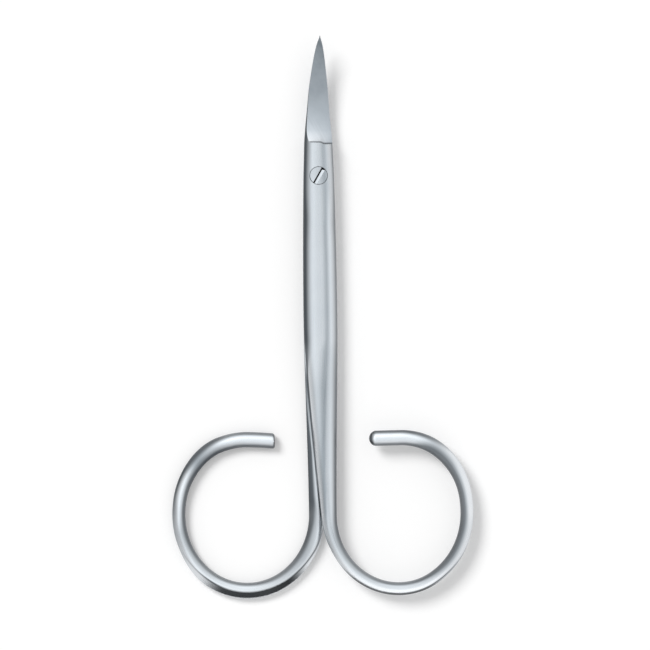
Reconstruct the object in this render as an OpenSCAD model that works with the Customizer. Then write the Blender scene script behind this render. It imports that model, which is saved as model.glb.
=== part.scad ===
// Manicure scissors: two crossed halves on one slotted pivot screw.
// Each half is a single forging that runs from its blade through the joint and the shank to an open ring.
// The pivot axis passes through the origin, the blades point along +Y, and the part lies on the plane z = 0.

/* [Blades] */
// Length of a blade, from the step at its root to its tip
blade_l = 17; // [14:0.1:21]
// Width of a blade at its root
blade_w = 4.5; // [3.6:0.1:5.4]
// Width left at the point of the tip
tip_w = 0.14; // [0.1:0.01:0.3]
// How far the tips lean to the right of the middle line
tip_lean = 0.48; // [0:0.02:0.8]
// How far the tips curve up out of the flat of the joint
tip_rise = 3.2; // [1:0.1:5]
// Thickness of a blade at its back, where it leaves the joint
back_root_t = 1.25; // [0.9:0.05:1.4]
// Thickness of a blade at its back, at the tip
back_tip_t = 0.3; // [0.2:0.05:0.5]
// Thickness of the cutting edge
edge_t = 0.1; // [0.06:0.01:0.2]
// Radius of the grinding wheel's run-out at the blade's root
runout_r = 1.5; // [1:0.1:2.5]

/* [Joint] */
// Distance from the pivot axis to the step at the blade's root
joint_front_l = 5.3; // [4:0.1:7]
// Width of the joint at the pivot axis
joint_w = 4.86; // [4.2:0.02:5.2]
// Height of a half above the parting plane, at the joint and at its ring
half_t = 1.75; // [1.5:0.05:2.2]
// Depth by which the underside of the joint is cut flat
rest_cut = 0.06; // [0.04:0.01:0.1]
// Length of the joint behind the pivot axis, where the shank begins
joint_back_l = 6; // [4:0.5:9]
// Gap between the two halves
joint_gap = 0.04; // [0.02:0.01:0.1]

/* [Shank] */
// Largest width of the shank
shank_w = 5.4; // [4.8:0.05:6]
// Distance from the pivot axis to the shank's widest place
shank_wide_l = 22; // [16:0.5:26]
// Height of a half above the parting plane, along the shank
shank_t = 1.66; // [1.4:0.02:2]
// Height above the parting plane where the shank's side is widest
shank_side_h = 0.36; // [0.2:0.02:0.6]
// Distance from the pivot axis to where the shank starts to narrow
taper_start_l = 26; // [23:0.5:32]
// Width of the neck, where the shank turns into the ring's wire
neck_w = 2.5; // [2.2:0.05:2.8]

/* [Finger rings] */
// Width of a ring's opening
ring_w = 19.8; // [17:0.2:23]
// Length of a ring's opening, along the scissors
ring_l = 21.8; // [18:0.2:25]
// Distance from the pivot axis to the middle of the rings
ring_drop = 54.1; // [50:0.1:60]
// Distance between the two openings
rings_apart = 4.44; // [4.3:0.02:5]
// Width of the ring's wire
wire_w = 2.08; // [1.9:0.02:2.4]
// Height of the ring's wire
wire_h = 2; // [1.7:0.05:2.2]
// Width of the wire at its free end
wire_end_w = 2.45; // [2.1:0.05:2.8]
// Width of the mouth between a ring's free end and the shank
mouth_w = 5.2; // [4.4:0.1:6.5]
// Length of the rounding on the upper ring's free end
dome_l = 1.1; // [0.3:0.05:1.2]
// Length of the broken edge on the lower ring's free end
break_l = 0.4; // [0.1:0.05:0.5]
// Width of the bevel on the lower ring, seen from above
lower_bevel_w = 1; // [0.6:0.05:1.2]
// Width that the lower ring's wire gains along its bevel
lower_bevel_gain = 0.42; // [0:0.02:0.5]
// Width of the bevel on the upper ring, seen from above
upper_bevel_w = 0.28; // [0.15:0.01:0.5]
// How far the wire's crest lies towards the finger, as a share of half the wire's width
crest_lean_share = 0.3; // [0:0.05:0.4]

/* [Pivot screw] */
// Diameter of the screw's head
head_d = 2.8; // [2.6:0.05:3.4]
// Height of the screw's head
head_h = 0.78; // [0.6:0.02:0.9]
// Depth of the head's top below the crown of the joint, in the middle
head_sink = 0.1; // [0.06:0.01:0.2]
// Clearance around the head, to each side
head_clear = 0.06; // [0.04:0.01:0.1]
// Diameter of the plain shoulder that the upper half turns on
shoulder_d = 2.2; // [2:0.05:2.5]
// Running clearance of the shoulder, to each side
run_clear = 0.03; // [0.01:0.01:0.08]
// Diameter of the threaded end in the lower half
thread_d = 1.8; // [1.4:0.05:1.9]
// Distance of the screw's end above the rest plane
end_sink = 0.1; // [0.05:0.01:0.3]
// Width of the slot
slot_w = 0.68; // [0.4:0.02:0.8]
// Depth of the slot
slot_depth = 0.42; // [0.2:0.02:0.5]
// Angle of the slot from the middle line, clockwise
slot_angle = 30; // [0:5:90]

/* [Hidden] */

// Points around one section, and sections along each stretch
section_n = 20;
blade_n = 18;
joint_n = 5;
shank_n = 13;
taper_n = 12;
ring_step = 6;
tail_n = 3;
dome_n = 3;
$fn = 64;

// Overrun of every cut
over = 0.5;
// Length of the step at the blade's root
step_l = 0.12;

crown_t = half_t + rest_cut;
joint_hw = joint_w / 2;
shank_hw = shank_w / 2;
ring_a = ring_w / 2;
ring_b = ring_l / 2;
ring_x = rings_apart / 2 + ring_a;
wire_mid = half_t - wire_h / 2;

// Squareness of a section's corners: 2 is an ellipse, more is squarer
crown_square = 2.4;
flat_square = 7;
round_square = 2;

// Shares of the blade's length at which its width is set, and the share of the root width there
blade_width_shares = [
    [0, 1], [0.12, 0.93], [0.3, 0.8], [0.49, 0.685],
    [0.675, 0.517], [0.81, 0.368], [0.92, 0.2], [1, 0]
];
// How much less the crown than the back thins towards the tip
crown_keep_share = 0.6;
// Highest place of a blade's widest line, as a share of its crown
side_share = 0.33;
// Powers of the curves along which the body swells, the blade and the neck thin out, and the seam runs
swell_power = 1.9;
thin_power = 1.5;
seam_power = 1.1;
// Where a bevel ends on the wire's outside, as a share of the angle at which its crease lies
bevel_foot_share = 0.13;

// The ring starts at the neck, on the shank's side, and ends on a short straight tail above its top
ring_start = 180;
ring_end = 450;
neck_fade = 35;
swell_start = 360;
swell_end = 430;
bevel_in = 186;
bevel_full = 215;
bevel_out = 300;
bevel_end = 340;
lean_in = 180;
lean_full = 230;
// Turn over which a free end is rounded
dome_turn = 75;

// The shank turns round in section between these distances from the pivot axis, given as shares of ring_drop
round_start_share = 0.56;
drop_start_share = 0.925;
drop_end_share = 1.1;
square_start_share = 0.66;
square_end_share = 0.96;
// Length over which the taper's corner is rounded, as a share of the stretch below it
taper_blend_share = 0.08;

function mix(a, b, t) = a + (b - a) * t;
function clamp(t) = max(0, min(1, t));
function share(x, from, to) = clamp((x - from) / (to - from));
// A smooth step from 0 to 1
function ease(t) = let (c = clamp(t)) c * c * (3 - 2 * c);
// A ramp that starts at 0 with a rounded corner of size r
function ramp(x, r) = (x + sqrt(x * x + r * r)) / 2;
// A smooth curve through [place, value] pairs
function slope_at(t, i) =
    let (a = max(0, i - 1), b = min(len(t) - 1, i + 1)) (t[b][1] - t[a][1]) / (t[b][0] - t[a][0]);
function curve(t, x, i = 0) =
    i < len(t) - 2 && x > t[i + 1][0] ? curve(t, x, i + 1) :
    let (h = t[i + 1][0] - t[i][0], s = clamp((x - t[i][0]) / h))
    mix(t[i][1], t[i + 1][1], s * s * (3 - 2 * s))
    + h * s * (1 - s) * ((1 - s) * slope_at(t, i) - s * slope_at(t, i + 1));

// A superellipse point: the power keeps the sign
function squared(c, e) = sign(c) * pow(abs(c), 2 / e);

// One section: half width a, widest at height mid, from height low to height high, its crest moved by lean
// half widths towards the inner side
function section(a, mid, high, low, top_e, low_e, lean = 0) = [
    for (i = [0 : section_n - 1])
    let (
        th = 360 * i / section_n,
        up = sin(th) >= 0,
        e = up ? top_e : low_e,
        across = squared(cos(th), e)
    )
    [
        a * (across * (1 + lean * sign(across)) - lean),
        mid + (up ? high - mid : mid - low) * squared(sin(th), e)
    ]
];

// The same section with a flat bevel of plan width w on its outer side, on top (side 1) or below (side -1)
function bevelled(pts, a, h, w, side, lean) =
    w <= 0 ? pts :
    let (
        outer = a * (1 + lean),
        middle = [-a * lean, wire_mid],
        crease = acos(1 - w / outer),
        foot = bevel_foot_share * crease,
        n = [h * (sin(crease) - sin(foot)), side * outer * (cos(foot) - cos(crease))],
        d = n * [outer * cos(crease), side * h * sin(crease)]
    )
    [for (p = pts) let (k = n * (p - middle)) k > d ? middle + (p - middle) * d / k : p];

// The blades share one curved face: it is flat round the pivot and rises as an arc with distance from it
lift_r = (pow(blade_l, 2) + pow(tip_rise, 2)) / (2 * tip_rise);
function lift(x, y) =
    y <= 0 ? 0 :
    let (d = max(0, norm([x, y]) - joint_front_l))
    lift_r - sqrt(pow(lift_r, 2) - pow(d, 2));

// A section's point in the scissors' frame: side is 1 for the upper half and -1 for the lower one
function place(centre, out, p, side) =
    let (x = centre[0] + out[0] * p[0], y = centre[1] + out[1] * p[0])
    [side * x, y, half_t + lift(x, y) + side * p[1]];
function placed(centre, out, pts, side) = [for (p = pts) place(centre, out, p, side)];

// Blade
function blade_hw(s) = max(tip_w, blade_w * curve(blade_width_shares, s)) / 2;
function back_t(s) = mix(back_tip_t, back_root_t, pow(1 - s, thin_power));
// Height of the ground face: a slope up to the back, and at the root the round run-out of the grinding wheel
function ground(s, u) =
    let (reach = min(runout_r, max(0, runout_r - s * blade_l)))
    mix(edge_t, back_t(s), (1 + u) / 2) + runout_r - sqrt(max(0, pow(runout_r, 2) - pow(reach, 2)));
function blade_section(s) =
    let (
        a = blade_hw(s),
        high = crown_t * back_t(s) / back_root_t * (1 + crown_keep_share * s),
        mid = min(shank_side_h, high * side_share),
        pts = section(a, mid, high, joint_gap / 2, crown_square, flat_square)
    )
    [for (p = pts) [p[0], max(joint_gap / 2, min(p[1], joint_gap / 2 + ground(s, p[0] / a)))]];
function blade_at(s, side) =
    placed([side * tip_lean * s * s, joint_front_l + s * blade_l], [-1, 0], blade_section(s), side);

// Joint and shank, at a distance l behind the pivot axis: the two halves together are 2 * body_hw wide, and
// the upper half reaches from its seam on the left to the body's right edge
function body_hw(l) =
    l < 0 ? mix(joint_hw, blade_w / 2, -l / joint_front_l) :
    l < shank_wide_l ? mix(joint_hw, shank_hw, 1 - pow(1 - l / shank_wide_l, swell_power)) :
    mix(shank_hw, rings_apart / 2, ease(share(l, shank_wide_l, ring_drop)));
taper_l = ring_drop - taper_start_l;
taper_blend = taper_blend_share * taper_l;
function seam_x(l) =
    let (done = ramp(l - taper_start_l, taper_blend) / ramp(taper_l, taper_blend))
    (shank_hw + rings_apart / 2 - neck_w) * pow(done, seam_power)
    - (l < shank_wide_l ? body_hw(l) : shank_hw);
function shank_high(l) =
    l < ring_drop / 2 ? mix(crown_t, shank_t, ease(share(l, joint_back_l, 2 * joint_back_l))) :
    mix(shank_t, half_t, ease(share(l, ring_drop / 2, ring_drop)));
// A smooth step between two shares of the distance to the rings
function ring_ease(l, from, to) = ease(share(l, from * ring_drop, to * ring_drop));
function shank_mid(l) = mix(shank_side_h, wire_mid, ring_ease(l, round_start_share, 1));
function shank_low(l) = mix(joint_gap / 2, half_t - wire_h, ring_ease(l, drop_start_share, drop_end_share));
function top_square(l) = mix(crown_square, round_square, ring_ease(l, round_start_share, 1));
function low_square(l) = mix(flat_square, round_square, ring_ease(l, square_start_share, square_end_share));
function body_section(a, l) =
    section(a, shank_mid(l), shank_high(l), shank_low(l), top_square(l), low_square(l));
function shank_at(l, side) =
    let (a = (body_hw(l) - seam_x(l)) / 2)
    placed([body_hw(l) - a, -l], [-1, 0], body_section(a, l), side);

// Ring: the wire's inner edge is the opening, an ellipse, and the width grows outwards from it
function bevel_share(phi) =
    ease(share(phi, bevel_in, bevel_full)) * (1 - ease(share(phi, bevel_out, bevel_end)));
function wire_at(phi, side) =
    wire_w
    + (neck_w - wire_w) * pow(1 - share(phi, ring_start, ring_start + neck_fade), thin_power)
    + (wire_end_w - wire_w) * ease(share(phi, swell_start, swell_end))
    + (side < 0 ? lower_bevel_gain * bevel_share(phi) : 0);
function bevel_w(phi, side) = bevel_share(phi) * (side < 0 ? lower_bevel_w : upper_bevel_w);
// The way round the ring from the neck to its lowest place, over which the wire's underside still drops
half_way = ring_start + 90;
function wire_low(phi) = phi < half_way ? shank_low(ring_drop - ring_b * sin(phi)) : half_t - wire_h;
function ring_section(phi, side) =
    let (
        a = wire_at(phi, side) / 2,
        lean = crest_lean_share * ease(share(phi, lean_in, lean_full)),
        pts = section(a, wire_mid, half_t, wire_low(phi), round_square, round_square, lean)
    )
    bevelled(pts, a, wire_h / 2, bevel_w(phi, side), side, lean);
function ring_at(phi, side) =
    let (
        a = wire_at(phi, side) / 2,
        centre = [ring_x + (ring_a + a) * cos(phi), -ring_drop + (ring_b + a) * sin(phi)]
    )
    placed(centre, [cos(phi), sin(phi)], ring_section(phi, side), side);

// Tail: the wire's last stretch runs straight, along the ellipse's tangent, up to the mouth
end_a = ring_a + wire_end_w / 2;
end_b = ring_b + wire_end_w / 2;
tail_from = [ring_x + end_a * cos(ring_end), -ring_drop + end_b * sin(ring_end)];
tail_dir = let (t = [-end_a * sin(ring_end), end_b * cos(ring_end)]) t / norm(t);
tail_end_x = body_hw(ring_drop - ring_b) + mouth_w;
tail_l = (tail_from[0] - tail_end_x) / -tail_dir[0];
function tail_at(l, k, side) =
    let (pts = [for (p = ring_section(ring_end, side)) [p[0] * k, wire_mid + (p[1] - wire_mid) * k]])
    placed(tail_from + tail_dir * l, [tail_dir[1], -tail_dir[0]], pts, side);
function end_l(side) = side > 0 ? dome_l : break_l;
function end_at(t, side) =
    let (keep = side > 0 ? cos(t) : 1 - (1 - cos(t)) * 2 * break_l / wire_end_w)
    tail_at(tail_l - end_l(side) * (1 - sin(t) / sin(dome_turn)), keep, side);

// All sections of a half, from the tip of its blade to the free end of its ring
function half_sections(side) = concat(
    [for (i = [0 : blade_n]) blade_at(ease(1 - i / blade_n), side)],
    [for (i = [0 : joint_n]) shank_at(mix(step_l - joint_front_l, joint_back_l, i / joint_n), side)],
    [for (i = [1 : shank_n]) shank_at(mix(joint_back_l, taper_start_l, i / shank_n), side)],
    [for (i = [1 : taper_n - 1]) shank_at(mix(taper_start_l, ring_drop, i / taper_n), side)],
    [for (phi = [ring_start : ring_step : ring_end]) ring_at(phi, side)],
    [for (i = [1 : tail_n]) tail_at((tail_l - end_l(side)) * i / tail_n, 1, side)],
    [for (i = [1 : dome_n]) end_at(dome_turn * i / dome_n, side)]
);

// A closed skin over a list of sections, all of them with the same number of points
module skin(sections) {
    n = len(sections[0]);
    m = len(sections);
    sides = [
        for (k = [0 : m - 2], i = [0 : n - 1])
        let (a = k * n + i, b = k * n + (i + 1) % n)
        each [[a, b, b + n], [a, b + n, a + n]]
    ];
    first = [for (i = [1 : n - 2]) [0, i + 1, i]];
    last = [for (i = [1 : n - 2]) [(m - 1) * n, (m - 1) * n + i, (m - 1) * n + i + 1]];
    polyhedron(points = [for (s = sections) each s], faces = concat(sides, first, last));
}

head_top = half_t + crown_t - head_sink;
head_low = head_top - head_h;
// The head is ground off together with the joint, so its top is an arc across the scissors. The arc goes
// through the crown's height over the head's side.
crown_side_h = shank_side_h
    + (crown_t - shank_side_h) * pow(1 - pow(head_d / joint_w, crown_square), 1 / crown_square);
crown_drop = crown_t - crown_side_h;
crown_r = (pow(head_d / 2, 2) + pow(crown_drop, 2)) / (2 * crown_drop);

// Upper half: blade with its cutting edge to the right, shank and right-hand ring
module upper_half() {
    color("lightsteelblue")
    difference() {
        skin(half_sections(1));
        translate([0, 0, half_t - over]) cylinder(d = shoulder_d + 2 * run_clear, h = half_t + 2 * over);
        translate([0, 0, head_low - joint_gap / 2]) cylinder(d = head_d + 2 * head_clear, h = half_t);
    }
}

// Lower half: the same forging turned over, with the left-hand ring, a threaded hole and a flat to rest on
module lower_half() {
    color("slategray")
    difference() {
        skin(half_sections(-1));
        translate([0, 0, -over]) cylinder(d = thread_d, h = half_t + 2 * over);
        translate([-shank_hw, -ring_drop / 2, -half_t])
            cube([shank_w, ring_drop / 2 + joint_front_l + runout_r, half_t]);
    }
}

// Pivot screw: slotted head, plain shoulder and threaded end
module pivot_screw() {
    color("gainsboro")
    difference() {
        union() {
            intersection() {
                translate([0, 0, head_low]) cylinder(d = head_d, h = head_h);
                translate([0, head_d, head_top - crown_r])
                    rotate([90, 0, 0])
                        cylinder(r = crown_r, h = 2 * head_d);
            }
            translate([0, 0, half_t - joint_gap / 2])
                cylinder(d = shoulder_d, h = head_low - half_t + joint_gap / 2);
            translate([0, 0, end_sink]) cylinder(d = thread_d, h = half_t - joint_gap / 2 - end_sink);
        }
        rotate([0, 0, -slot_angle])
            translate([-slot_w / 2, -head_d, head_top - slot_depth])
                cube([slot_w, 2 * head_d, slot_depth + over]);
    }
}

upper_half();
lower_half();
pivot_screw();
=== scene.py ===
# %% [markdown]
# # Manicure scissors in satin steel
#
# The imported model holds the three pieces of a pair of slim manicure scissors: two forged halves that cross
# at the joint, and the slotted screw that they turn on. This notebook gives them the surface of the real
# thing: smooth forgings with ground blades, a turned joint, a crisp screw slot and a satin finish.
# Everything stays in the model's own frame, in metres: the pivot is the Z axis and the blades point along +Y.

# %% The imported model
import math

import bpy
import numpy as np
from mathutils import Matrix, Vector


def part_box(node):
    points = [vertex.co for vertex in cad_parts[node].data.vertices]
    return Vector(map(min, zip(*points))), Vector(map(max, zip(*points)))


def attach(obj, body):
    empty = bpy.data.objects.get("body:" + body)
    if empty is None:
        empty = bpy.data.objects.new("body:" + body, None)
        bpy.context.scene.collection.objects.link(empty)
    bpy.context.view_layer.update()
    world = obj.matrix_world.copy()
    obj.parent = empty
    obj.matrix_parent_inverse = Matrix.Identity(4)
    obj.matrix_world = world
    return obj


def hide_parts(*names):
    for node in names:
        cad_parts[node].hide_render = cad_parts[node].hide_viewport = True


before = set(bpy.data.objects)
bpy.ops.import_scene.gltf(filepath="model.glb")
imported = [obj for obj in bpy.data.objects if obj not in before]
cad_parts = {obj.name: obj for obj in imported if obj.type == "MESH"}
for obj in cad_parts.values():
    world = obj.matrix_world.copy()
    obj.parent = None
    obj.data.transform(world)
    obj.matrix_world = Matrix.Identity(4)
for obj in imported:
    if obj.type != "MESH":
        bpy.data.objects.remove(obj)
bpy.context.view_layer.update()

MM = 0.001

# %% [markdown]
# ## The camera
#
# The scissors lie on a white table and are seen from straight above, so the camera looks down -Z. A long
# lens far away shows no convergence, which is what a catalogue picture of a small tool looks like. The
# object lies a little askew in its picture, so the camera is rolled by the same small angle.

# %% Camera
frame_width = 104 * MM
view_centre = Vector((0.725, -23.9, 1.75)) * MM
view_roll = math.radians(0.716)
view_distance = 1.6

camera_data = bpy.data.cameras.new("camera")
camera_data.sensor_width = 36
camera_data.lens = camera_data.sensor_width * view_distance / frame_width
camera_data.clip_start = 0.05
camera_data.clip_end = 20
camera = bpy.data.objects.new("camera", camera_data)
camera.location = view_centre + Vector((0, 0, view_distance))
camera.rotation_euler = (0, 0, -view_roll)
bpy.context.scene.collection.objects.link(camera)
bpy.context.scene.camera = camera
print("lens in mm:", round(camera_data.lens, 1))

# %% [markdown]
# ## Sizes
#
# A half is one forging, so a single surface can carry it from the tip of the blade to the free end of the
# finger ring. The values below are its driving dimensions in millimetres, the same ones that the model was
# built from. Two differ: the tips rise to a hair under the model's 3.2, so that they keep inside its box, and
# the tiny bevel round the screw's head is added here. The head is then compared with the box of its node.

# %% Driving dimensions, in millimetres
blade_l = 17
blade_w = 4.5
tip_w = 0.14
tip_lean = 0.48
tip_rise = 3.195
back_root_t = 1.25
back_tip_t = 0.3
edge_t = 0.1
joint_front_l = 5.3
joint_back_l = 6
joint_w = 4.86
half_t = 1.75
rest_cut = 0.06
joint_gap = 0.04
shank_w = 5.4
shank_wide_l = 22
shank_t = 1.66
shank_side_h = 0.36
taper_start_l = 26
neck_w = 2.5
ring_w = 19.8
ring_l = 21.8
ring_drop = 54.1
rings_apart = 4.44
wire_w = 2.08
wire_h = 2
wire_end_w = 2.45
mouth_w = 5.2
dome_l = 1.1
break_l = 0.4
lower_bevel_w = 1
lower_bevel_gain = 0.42
upper_bevel_w = 0.28
head_d = 2.8
head_h = 0.78
head_sink = 0.1
head_bevel = 0.02
head_clear = 0.06
shoulder_d = 2.2
run_clear = 0.03
thread_d = 1.8
end_sink = 0.1
slot_w = 0.68
slot_depth = 0.42
slot_angle = 30

# %% Values worked out from them
crown_t = half_t + rest_cut
joint_hw = joint_w / 2
shank_hw = shank_w / 2
ring_a = ring_w / 2
ring_b = ring_l / 2
ring_x = rings_apart / 2 + ring_a
wire_mid = half_t - wire_h / 2
head_top = half_t + crown_t - head_sink
head_low = head_top - head_h

screw_low, screw_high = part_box("pivot_screw")
print("screw head off by", round((screw_high.x - screw_low.x) / MM - head_d, 4), "mm across and",
      round(screw_high.z / MM - head_top, 4), "mm in height")

# %% [markdown]
# ## A few curves
#
# Every width and height of the forging changes smoothly along it. A few small functions are enough to say
# how: a straight mix of two values, a soft step that starts and ends level, a window and a bell that come and
# go, and a curve through a handful of points. All of them take whole arrays, so the surface is worked out at
# once and no loop runs over its points.

# %% Curve helpers
def mix(a, b, t):
    """The straight line from a at t = 0 to b at t = 1."""
    return a + (b - a) * t


def share(x, start, end):
    """How far x is on its way from start to end, kept between 0 and 1."""
    return np.clip((np.asarray(x, float) - start) / (end - start), 0, 1)


def ease(t):
    """The soft step 3 t^2 - 2 t^3, level at both ends."""
    t = np.clip(t, 0, 1)
    return t * t * (3 - 2 * t)


def window(x, start, full, out, end):
    """1 between full and out, with a soft step up from start and one down to end."""
    return ease(share(x, start, full)) * (1 - ease(share(x, out, end)))


def bell(x, width):
    """1 at x = 0, falling to 1 / e at the width: the exponential of minus the square of x / width."""
    return np.exp(-((x / width) ** 2))


def ramp(x, corner):
    """A line of slope 1 that starts at x = 0, its corner rounded to the given size."""
    return (x + np.sqrt(x * x + corner * corner)) / 2


def through(places, values, x):
    """A smooth curve through (place, value) pairs: cubic stretches whose slope at a pair is that of the
    chord between its neighbours."""
    places, values = np.asarray(places, float), np.asarray(values, float)
    before = np.maximum(np.arange(len(places)) - 1, 0)
    after = np.minimum(np.arange(len(places)) + 1, len(places) - 1)
    slopes = (values[after] - values[before]) / (places[after] - places[before])
    i = np.clip(np.searchsorted(places, x) - 1, 0, len(places) - 2)
    h = places[i + 1] - places[i]
    t = np.clip((x - places[i]) / h, 0, 1)
    bend = h * t * (1 - t) * ((1 - t) * slopes[i] - t * slopes[i + 1])
    return mix(values[i], values[i + 1], ease(t)) + bend


print("soft step at a quarter:", ease(0.25), "bell at its width:", round(bell(1, 1), 3))

# %% [markdown]
# ## Stations
#
# A shipwright lofts a hull over stations, cross-sections at places along the keel, and a forging can be
# drawn the same way. A station here is a row of numbers: where its middle lies, which way its outer side
# faces, how wide it is, how high its top, its widest line and its underside lie, and how square its corners
# are. A last number, its place, is what the finish goes by further down. Putting the numbers in arrays lets
# one formula draw all the sections together.

# %% A stretch of stations
FLAT, CROWN, ROUND = 7, 2.4, 2      # squareness of a corner: 2 is an ellipse, more is squarer
joint_place = -30                   # places run from here to 180 at the neck, and then round the ring


def stretch(count, **columns):
    """A number of stations: each column is a single value or an array, spread over all of them."""
    columns = {"lean": 0, "bevel": 0, "keep": 1, "place": joint_place, **columns}
    return {name: np.broadcast_to(np.asarray(values, float), (count,)) for name, values in columns.items()}


def joined(stretches):
    """One list of stations out of several, end to end."""
    return {name: np.concatenate([s[name] for s in stretches]) for name in stretches[0]}


# %% [markdown]
# ## The blade's blank
#
# Before it is ground, a blade is a slim half-round bar: flat on the side that meets the other blade, crowned
# outside, and narrowing to a point in a long curve. Its back also thins out towards the tip.

# %% Blade stations
width_places = [0, 0.12, 0.3, 0.49, 0.675, 0.81, 0.92, 1]
width_shares = [1, 0.93, 0.8, 0.685, 0.517, 0.368, 0.2, 0]
crown_keep_share = 0.6
side_share = 0.33
thin_power = 1.5


def blade_hw(s):
    """Half the blade's width at the share s of its length, along a curve through the shares above."""
    return np.maximum(tip_w, blade_w * through(width_places, width_shares, s)) / 2


def back_t(s):
    """Thickness of the back: it falls from the root's to the tip's, quickly at first."""
    return mix(back_tip_t, back_root_t, np.clip(1 - s, 0, 1) ** thin_power)


def blade_stations(count, side):
    """Stations from the tip to the root, closer together at both ends."""
    s = ease(np.linspace(1, 0, count))
    high = crown_t * back_t(s) / back_root_t * (1 + crown_keep_share * s)
    return stretch(count, x=side * tip_lean * s * s, y=joint_front_l + s * blade_l, out_x=-1, out_y=0,
                   half=blade_hw(s), high=high, mid=np.minimum(shank_side_h, high * side_share),
                   low=joint_gap / 2, top_square=CROWN, low_square=FLAT)


# %% [markdown]
# ## The joint and the shank
#
# Behind the blade the two halves lie flat on each other and together make one slender, crowned bar. The
# seam between them starts at the bar's left edge and crosses over to the middle, where the two rings part.
# On the way each half turns from a half-round section into the full round of the ring's wire.

# %% Shank stations
swell_power = 1.9
seam_power = 1.1
taper_l = ring_drop - taper_start_l
taper_blend = 0.08 * taper_l
low_from, low_to = 0.925 * ring_drop, 1.1 * ring_drop
turn_from = 0.56 * ring_drop
round_from, round_to = 0.66 * ring_drop, 0.96 * ring_drop
leave_joint = (2, 8)
neck_turn, top_turn = 180, 450


def body_hw(l):
    """Half the width of the closed scissors, l behind the pivot: it swells along the shank and narrows to
    the distance between the rings."""
    front = mix(joint_hw, blade_w / 2, -l / joint_front_l)
    swell = mix(joint_hw, shank_hw, 1 - (1 - np.minimum(l, shank_wide_l) / shank_wide_l) ** swell_power)
    taper = mix(shank_hw, rings_apart / 2, ease(share(l, shank_wide_l, ring_drop)))
    return np.where(l < 0, front, np.where(l < shank_wide_l, swell, taper))


def seam_x(l):
    """Where the upper half's left edge runs: along the bar's own edge, and from the taper's start over
    towards the right, as a rounded ramp."""
    done = ramp(l - taper_start_l, taper_blend) / ramp(taper_l, taper_blend)
    across = (shank_hw + rings_apart / 2 - neck_w) * done ** seam_power
    return across - np.where(l < shank_wide_l, body_hw(l), shank_hw)


def shank_low(l):
    """Height of the underside: flat on the seam, then down to the underside of the wire."""
    return mix(joint_gap / 2, half_t - wire_h, ease(share(l, low_from, low_to)))


def shank_stations(l):
    """Stations at the distances l behind the pivot."""
    half = (body_hw(l) - seam_x(l)) / 2
    thin = mix(crown_t, shank_t, ease(share(l, joint_back_l, 2 * joint_back_l)))
    thick = mix(shank_t, half_t, ease(share(l, ring_drop / 2, ring_drop)))
    turn = ease(share(l, turn_from, ring_drop))
    low_turn = ease(share(l, round_from, round_to))
    spot = neck_turn * share(l, taper_start_l, ring_drop) + joint_place * (1 - share(l, *leave_joint))
    return stretch(len(l), x=body_hw(l) - half, y=-l, out_x=-1, out_y=0, half=half,
                   high=np.where(l < ring_drop / 2, thin, thick), mid=mix(shank_side_h, wire_mid, turn),
                   low=shank_low(l), top_square=mix(CROWN, ROUND, turn),
                   low_square=mix(FLAT, ROUND, low_turn), place=spot)


# %% [markdown]
# ## The finger ring
#
# The shank is drawn out into a wire and bent once around a mandrel. The opening is what the finger feels,
# so it is the ellipse that is given, and the wire's width grows outwards from it. The wire isn't quite
# round: it is fuller towards the finger and falls away gently outside. A narrow flat runs along the outside
# of its lower stretch, wider on the left ring than on the right one, and it fades out at both ends. Rings are
# bent by hand, so each strays outwards by a tenth of a millimetre or so here and there.

# %% Ring stations
neck_fade = 35
swell_start, swell_end = 360, 430
bevel_at = (185, 258, 300, 340)     # degrees at which the outer flat starts, is full, starts to go, has gone
spread_at = (178, 208, 300, 340)    # and the same for the wire's extra width on the left ring
bevel_power = 0.6
bevel_w = {1: upper_bevel_w, -1: lower_bevel_w}
crest_lean = 0.12                   # how far the crest lies towards the finger, as a share of half the width
lean_start, lean_full = 180, 230
bent_places = [180, 200, 225, 285, 310, 340, 365, 375, 390, 420, 436, 450]
bent_out = {
    1: [0, 0.08, 0.16, 0.15, 0.05, 0, 0, 0.08, 0.16, 0.16, 0.04, -0.1],
    -1: [0, 0, 0, 0, 0, 0, 0, 0.03, 0.04, 0.08, -0.08, -0.12],
}


def wire_width(turn, side):
    """Width of the wire: the neck's at first, then the wire's, and a little fuller at the free end and on the
    left ring's far side."""
    neck = (neck_w - wire_w) * (1 - share(turn, neck_turn, neck_turn + neck_fade)) ** thin_power
    end = (wire_end_w - wire_w) * ease(share(turn, swell_start, swell_end))
    gain = lower_bevel_gain * window(turn, *spread_at) if side < 0 else 0
    return wire_w + neck + end + gain


def ring_stations(turn, side):
    """Stations at the angles turn, in degrees, round the opening: 180 is the neck and 450 the top."""
    half = wire_width(turn, side) / 2
    cos, sin = np.cos(np.radians(turn)), np.sin(np.radians(turn))
    low = np.where(turn < 270, shank_low(ring_drop - ring_b * sin), half_t - wire_h)
    bevel = window(turn, *bevel_at) ** bevel_power * bevel_w[side]
    reach = half + through(bent_places, bent_out[side], turn)
    return stretch(len(turn), x=ring_x + (ring_a + reach) * cos, y=-ring_drop + (ring_b + reach) * sin,
                   out_x=cos, out_y=sin, half=half, high=half_t, mid=wire_mid, low=low,
                   top_square=ROUND, low_square=ROUND, bevel=bevel,
                   lean=crest_lean * ease(share(turn, lean_start, lean_full)), place=turn)


# %% [markdown]
# ## The ring's free end
#
# The ring stays open, for a finger of any size. Its last stretch runs straight towards the shank. The
# right-hand ring ends in a small dome, and the left-hand one is cut square with its edge just broken.

# %% Tail stations
tail_from = np.array([ring_x, -ring_drop + ring_b + wire_end_w / 2])
tail_l = tail_from[0] - float(body_hw(np.array(ring_drop - ring_b))) - mouth_w
tail_dip, dip_power = {1: 0.06, -1: 0.28}, 1.5
dome_turn = 88


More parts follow.
